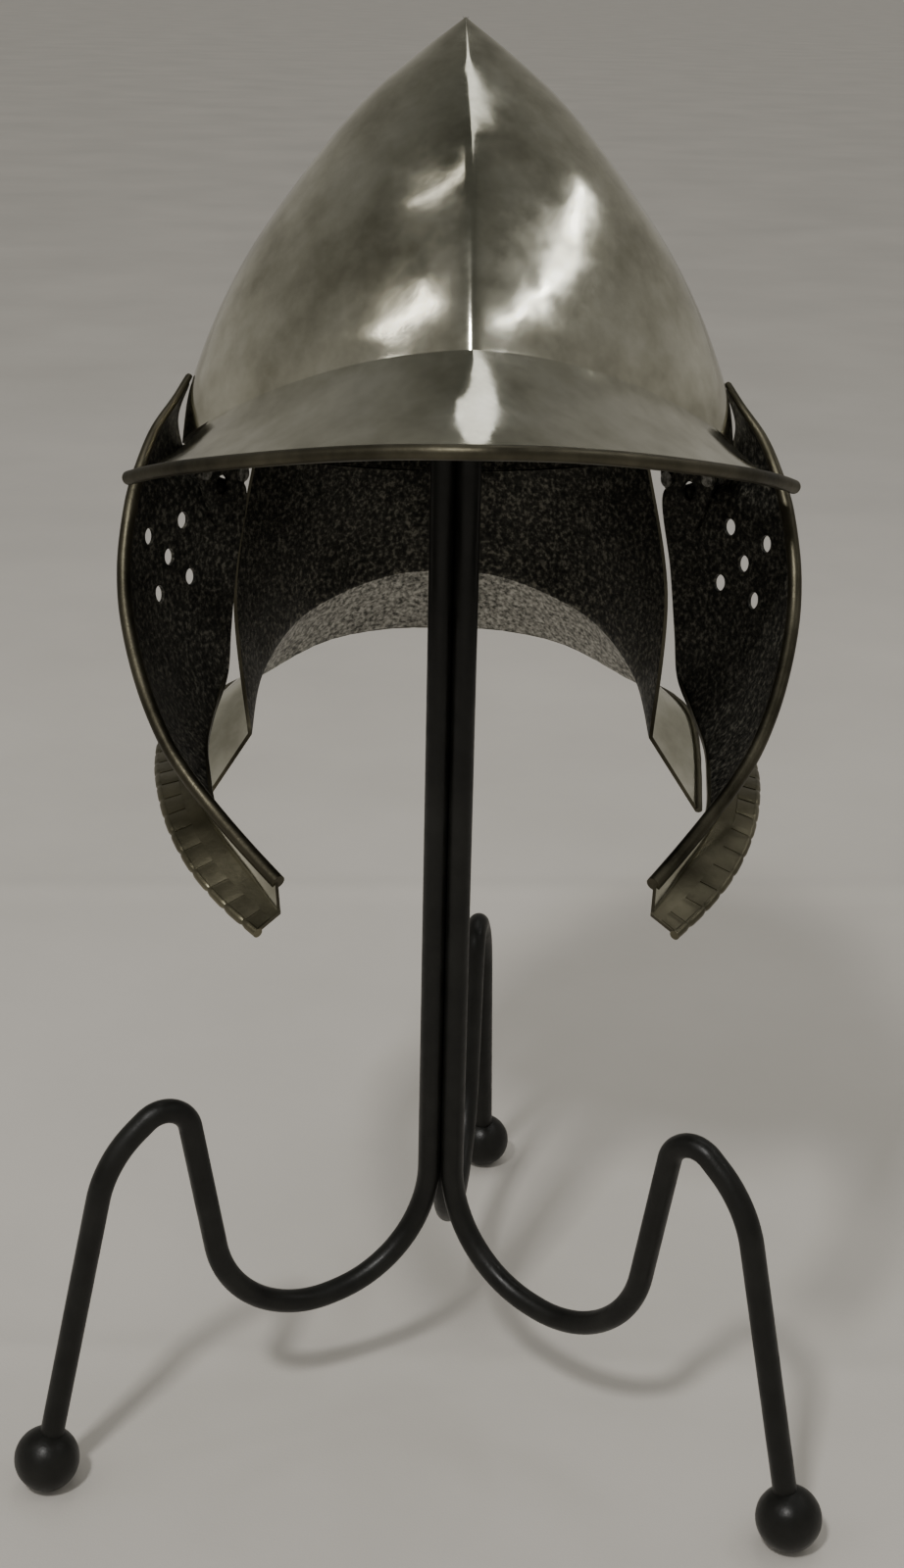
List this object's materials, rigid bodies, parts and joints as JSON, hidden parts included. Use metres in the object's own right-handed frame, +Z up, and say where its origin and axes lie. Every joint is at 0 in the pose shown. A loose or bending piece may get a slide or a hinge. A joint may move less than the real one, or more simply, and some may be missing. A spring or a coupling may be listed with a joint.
{
  "type": "knight helmet",
  "caption": "Open steel helmet with a ridged pointed bowl, peak, flared neck guard and hinged cheekpieces, resting on a three-legged black rod stand.",
  "frame": {"origin": "on the ground, on the axis of the stand's column", "axes": "+Z up, the helmet faces -Y, +X to the right of a viewer who faces it"},
  "size_m": [0.3189, 0.3524, 0.5598],
  "materials": {
    "polished_steel": "polished outside, dark and rough from the hammer inside",
    "rough_steel": "dark scale",
    "black_paint": "satin black"
  },
  "bodies": {
    "stand": {"leg_front_left": "black_paint", "leg_front_right": "black_paint", "leg_rear": "black_paint", "ball_front_left": "black_paint", "ball_front_right": "black_paint", "ball_rear": "black_paint", "column_welds": "black_paint", "top_rest": "black_paint"},
    "helmet": {"skull_bowl": "polished_steel", "peak": "polished_steel", "neck_guard": "polished_steel", "bowl_rivets": "polished_steel", "left_bowl_leaf": "rough_steel", "right_bowl_leaf": "rough_steel"},
    "left_cheek": {"left_cheekpiece": "polished_steel", "left_cheek_leaf": "rough_steel", "left_hinge_pin": "polished_steel", "left_cheek_rivets": "polished_steel"},
    "right_cheek": {"right_cheekpiece": "polished_steel", "right_cheek_leaf": "rough_steel", "right_hinge_pin": "polished_steel", "right_cheek_rivets": "polished_steel"}
  },
  "joints": [
    {"name": "helmet_lift", "type": "slide", "parent": "stand", "child": "helmet", "axis": [0, 0, 1], "range_m": [0, 0.28]},
    {"name": "right_cheek_hinge", "type": "hinge", "parent": "helmet", "child": "right_cheek", "pos_m": [0.085, -0.00145, 0.40505], "axis": [-0.5736, 0.7948, -0.1982], "range_deg": [0, 16]},
    {"name": "left_cheek_hinge", "type": "hinge", "parent": "helmet", "child": "left_cheek", "pos_m": [-0.085, -0.00145, 0.40505], "axis": [-0.5736, -0.7948, 0.1982], "range_deg": [0, 16]}
  ]
}
